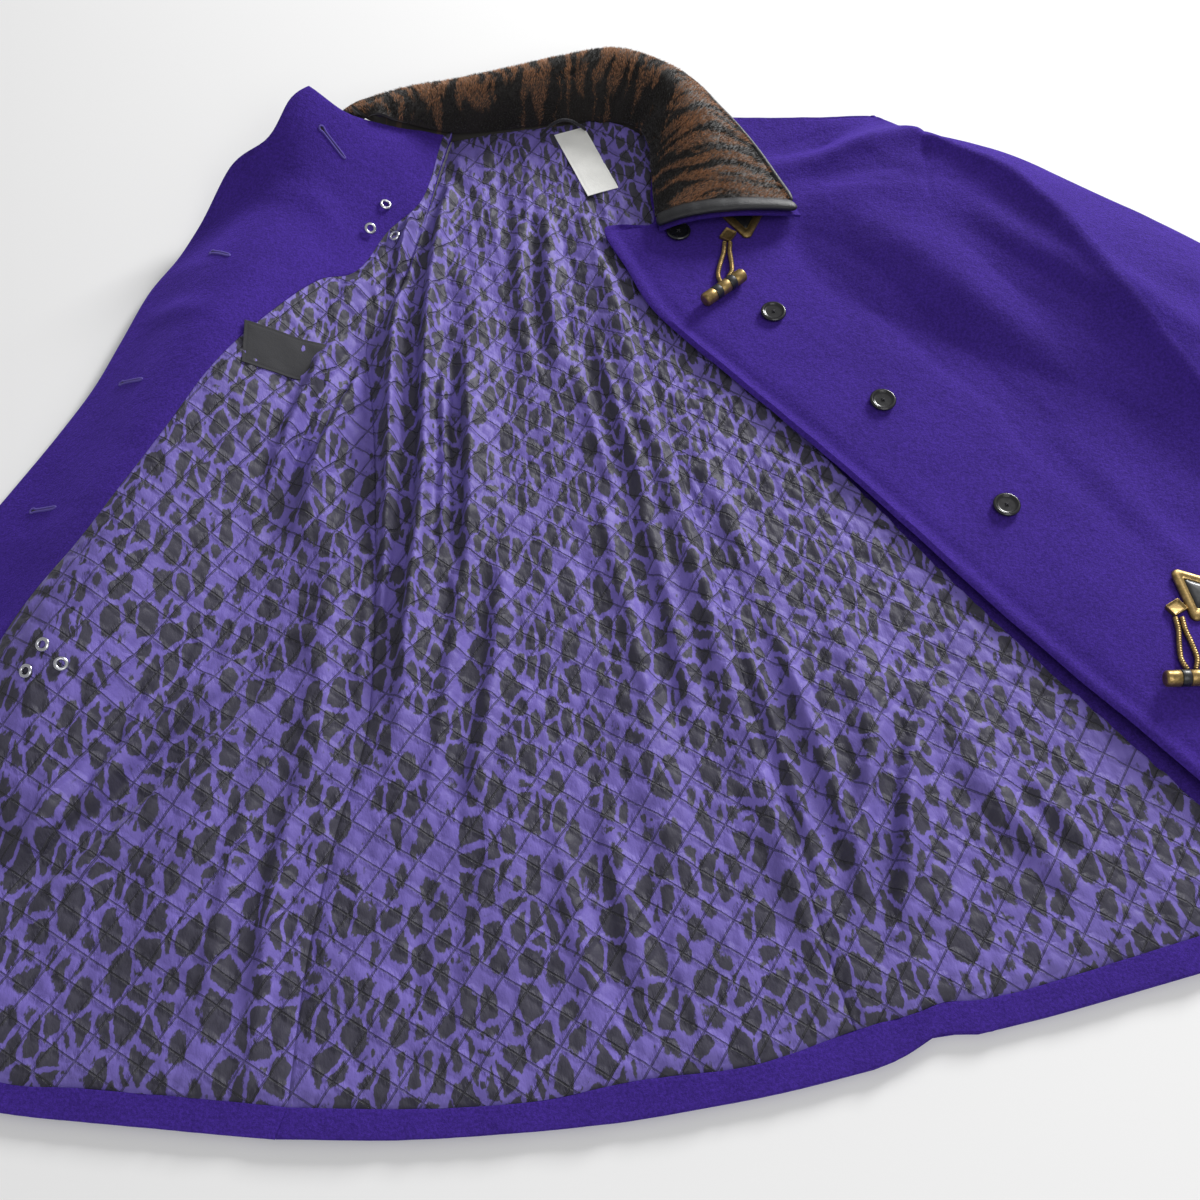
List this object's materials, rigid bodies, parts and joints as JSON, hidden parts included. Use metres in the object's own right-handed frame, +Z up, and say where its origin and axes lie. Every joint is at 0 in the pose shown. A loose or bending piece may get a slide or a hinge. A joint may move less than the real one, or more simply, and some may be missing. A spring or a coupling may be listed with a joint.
{
  "type": "long wool coat",
  "caption": "Long wool coat lying open on its back, with quilted lining, short-pile striped fur collar, buttons and chain toggles.",
  "frame": {"origin": "middle of the coat's own plan box, on the surface that it lies on", "axes": "+Z up off the surface, +Y towards the collar, +X towards the wearer's left front, which lies on the right"},
  "size_m": [1.4366, 1.031, 0.0882],
  "materials": {
    "wool": "felted, brushed nap, soft sheen",
    "quilted_lining": "smooth satin weave, diamond quilted, spotted print",
    "striped_fur": "short dense pile, brown with near-black stripes",
    "collar_binding": "soft grained, satin",
    "black_button": "polished rim, satin dish",
    "antique_gold": "worn antique gold plating",
    "black_enamel": "satin black",
    "silver_eyelet": "polished",
    "label_cloth": "plain woven satin",
    "patch_cloth": "plain woven, folded edges",
    "loop_cord": "twisted thread"
  },
  "bodies": {
    "root": {"back_shell_right": "wool", "back_shell_left": "wool", "back_hem": "wool", "back_lining_right": "quilted_lining", "back_lining_left": "quilted_lining", "right_front_shell": "wool", "right_front_facing": "wool", "right_front_lining": "quilted_lining", "right_front_hem": "wool", "right_sleeve": "wool", "left_sleeve_top": "wool", "left_sleeve_under": "wool", "left_front": "wool", "collar_fur": "striped_fur", "collar_edge_binding": "collar_binding", "collar_tip_binding": "collar_binding", "undercollar": "wool", "button_1": "black_button", "button_2": "black_button", "button_3": "black_button", "button_4": "black_button", "toggle_1_plate": "antique_gold", "toggle_1_inlay": "black_enamel", "toggle_1_link": "antique_gold", "toggle_1_chain_a": "antique_gold", "toggle_1_chain_b": "antique_gold", "toggle_1_bar": "antique_gold", "toggle_1_band_a": "black_enamel", "toggle_1_band_b": "black_enamel", "toggle_2_plate": "antique_gold", "toggle_2_inlay": "black_enamel", "toggle_2_link": "antique_gold", "toggle_2_chain_a": "antique_gold", "toggle_2_chain_b": "antique_gold", "toggle_2_bar": "antique_gold", "toggle_2_band_a": "black_enamel", "toggle_2_band_b": "black_enamel", "eyelet_1": "silver_eyelet", "eyelet_2": "silver_eyelet", "eyelet_3": "silver_eyelet", "eyelet_4": "silver_eyelet", "eyelet_5": "silver_eyelet", "eyelet_6": "silver_eyelet", "care_label": "label_cloth", "lining_patch": "patch_cloth", "hanger_loop": "loop_cord"}
  },
  "joints": []
}
